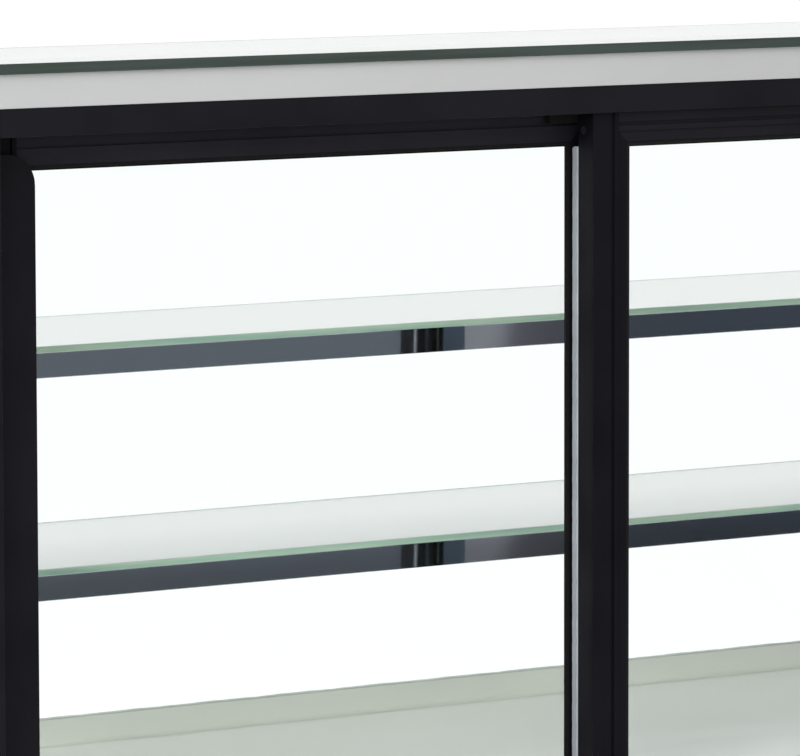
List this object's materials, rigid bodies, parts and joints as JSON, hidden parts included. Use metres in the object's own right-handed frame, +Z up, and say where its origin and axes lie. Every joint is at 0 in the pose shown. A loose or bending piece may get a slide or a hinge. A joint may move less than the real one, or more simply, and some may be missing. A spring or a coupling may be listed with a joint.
{
  "type": "refrigerated display cabinet",
  "caption": "Floor-standing refrigerated display cabinet with a bent glass hood, glass shelves on polished bars and sliding double-glazed doors on the service side.",
  "frame": {"origin": "on the floor under the middle of the cabinet's box", "axes": "+X along the length, +Y towards the service side with the sliding doors, +Z up"},
  "size_m": [1.5, 0.68, 1.25],
  "materials": {
    "clear_glass": "clear with a green edge",
    "door_glass": "clear, faintly blue-green",
    "satin_aluminium": "satin",
    "black_anodised": "satin black",
    "polished_steel": "mirror polished",
    "satin_steel": "satin",
    "painted_panel": "fine satin texture",
    "painted_steel": "satin",
    "galvanised_steel": "matte",
    "coil_metal": "thin fins",
    "copper_pipe": "drawn",
    "rubber": "matte",
    "pile": "woven pile",
    "dark_plastic": "fine grain",
    "light_plastic": "smooth"
  },
  "bodies": {
    "cabinet": {"base_frame": "painted_steel", "blower_housing": "galvanised_steel", "bottom_plate": "galvanised_steel", "cable_gland": "rubber", "compressor": "painted_steel", "condenser": "coil_metal", "condenser_fan_cowl": "galvanised_steel", "control_panel": "dark_plastic", "curved_glass_hood": "clear_glass", "deck_plate": "satin_steel", "door_stops": "rubber", "end_glasses": "clear_glass", "end_panels": "painted_panel", "evaporator": "coil_metal", "front_glass_channel": "black_anodised", "front_panel": "painted_panel", "header_track": "black_anodised", "hood_lamp": "satin_aluminium", "insulated_tub": "light_plastic", "kick_plate": "painted_panel", "rear_panel": "painted_panel", "rear_posts": "black_anodised", "rear_top_strip": "satin_aluminium", "refrigerant_pipes": "copper_pipe", "shelf_bars": "polished_steel", "shelf_brackets": "polished_steel", "shelf_glasses": "clear_glass", "shelf_uprights": "satin_aluminium", "side_glass_channels": "black_anodised", "sill_track": "black_anodised"},
    "left_door": {"left_door_stiles": "black_anodised", "left_door_rails": "black_anodised", "left_door_panes": "door_glass", "left_door_spacer": "satin_aluminium", "left_door_gaskets": "rubber", "left_door_handle": "black_anodised", "left_door_fixings": "polished_steel"},
    "left_door_left_roller": {"left_door_left_roller": "light_plastic"},
    "left_door_right_roller": {"left_door_right_roller": "light_plastic"},
    "right_door": {"right_door_stiles": "black_anodised", "right_door_rails": "black_anodised", "right_door_panes": "door_glass", "right_door_spacer": "satin_aluminium", "right_door_gaskets": "rubber", "right_door_handle": "black_anodised", "right_door_fixings": "polished_steel", "right_door_pile_seal": "pile"},
    "right_door_left_roller": {"right_door_left_roller": "light_plastic"},
    "right_door_right_roller": {"right_door_right_roller": "light_plastic"},
    "front_left_foot": {"front_left_foot": "dark_plastic"},
    "front_right_foot": {"front_right_foot": "dark_plastic"},
    "rear_left_foot": {"rear_left_foot": "dark_plastic"},
    "rear_right_foot": {"rear_right_foot": "dark_plastic"},
    "condenser_fan": {"condenser_fan_blades": "dark_plastic"},
    "blower": {"blower_rotor": "light_plastic"},
    "drip_tray": {"drip_tray": "dark_plastic"},
    "power_rocker": {"power_rocker": "dark_plastic"},
    "light_rocker": {"light_rocker": "dark_plastic"},
    "set_button": {"set_button": "dark_plastic"},
    "defrost_button": {"defrost_button": "dark_plastic"}
  },
  "joints": [
    {"name": "left_door_slide", "type": "slide", "parent": "cabinet", "child": "left_door", "axis": [-1, 0, 0], "range_m": [0, 0.6]},
    {"name": "left_door_left_roller_spin", "type": "hinge", "parent": "left_door", "child": "left_door_left_roller", "pos_m": [0.596, 0.281, 0.4682], "axis": [0, 1, 0], "continuous": true},
    {"name": "left_door_right_roller_spin", "type": "hinge", "parent": "left_door", "child": "left_door_right_roller", "pos_m": [0.07, 0.281, 0.4682], "axis": [0, 1, 0], "continuous": true},
    {"name": "right_door_slide", "type": "slide", "parent": "cabinet", "child": "right_door", "axis": [-1, 0, 0], "range_m": [-0.6, 0]},
    {"name": "right_door_left_roller_spin", "type": "hinge", "parent": "right_door", "child": "right_door_left_roller", "pos_m": [-0.07, 0.317, 0.4682], "axis": [0, 1, 0], "continuous": true},
    {"name": "right_door_right_roller_spin", "type": "hinge", "parent": "right_door", "child": "right_door_right_roller", "pos_m": [-0.596, 0.317, 0.4682], "axis": [0, 1, 0], "continuous": true},
    {"name": "front_left_foot_turn", "type": "hinge", "parent": "cabinet", "child": "front_left_foot", "pos_m": [0.65, -0.27, 0.04], "axis": [0, 0, 1], "continuous": true},
    {"name": "front_right_foot_turn", "type": "hinge", "parent": "cabinet", "child": "front_right_foot", "pos_m": [-0.65, -0.27, 0.04], "axis": [0, 0, 1], "continuous": true},
    {"name": "rear_left_foot_turn", "type": "hinge", "parent": "cabinet", "child": "rear_left_foot", "pos_m": [0.65, 0.27, 0.04], "axis": [0, 0, 1], "continuous": true},
    {"name": "rear_right_foot_turn", "type": "hinge", "parent": "cabinet", "child": "rear_right_foot", "pos_m": [-0.65, 0.27, 0.04], "axis": [0, 0, 1], "continuous": true},
    {"name": "condenser_fan_spin", "type": "hinge", "parent": "cabinet", "child": "condenser_fan", "pos_m": [-0.28, 0.21, 0.224], "axis": [0, 1, 0], "continuous": true},
    {"name": "blower_spin", "type": "hinge", "parent": "cabinet", "child": "blower", "pos_m": [0, 0.03525, 0.447], "axis": [1, 0, 0], "continuous": true},
    {"name": "drip_tray_slide", "type": "slide", "parent": "cabinet", "child": "drip_tray", "axis": [0, 1, 0], "range_m": [0, 0.2]},
    {"name": "power_rocker_tilt", "type": "hinge", "parent": "cabinet", "child": "power_rocker", "pos_m": [0.535, 0.333, 0.311], "axis": [1, 0, 0], "range_deg": [0, 12]},
    {"name": "light_rocker_tilt", "type": "hinge", "parent": "cabinet", "child": "light_rocker", "pos_m": [0.569, 0.333, 0.311], "axis": [1, 0, 0], "range_deg": [0, 12]},
    {"name": "set_button_press", "type": "slide", "parent": "cabinet", "child": "set_button", "axis": [0, -1, 0], "range_m": [0, 0.001], "stiffness_N_per_m": 400},
    {"name": "defrost_button_press", "type": "slide", "parent": "cabinet", "child": "defrost_button", "axis": [0, -1, 0], "range_m": [0, 0.001], "stiffness_N_per_m": 400}
  ],
  "couplings": [
    {"joint": "left_door_left_roller_spin", "follows": "left_door_slide", "rad_per_m": -83.333},
    {"joint": "left_door_right_roller_spin", "follows": "left_door_slide", "rad_per_m": -83.333},
    {"joint": "right_door_left_roller_spin", "follows": "right_door_slide", "rad_per_m": -83.333},
    {"joint": "right_door_right_roller_spin", "follows": "right_door_slide", "rad_per_m": -83.333}
  ]
}
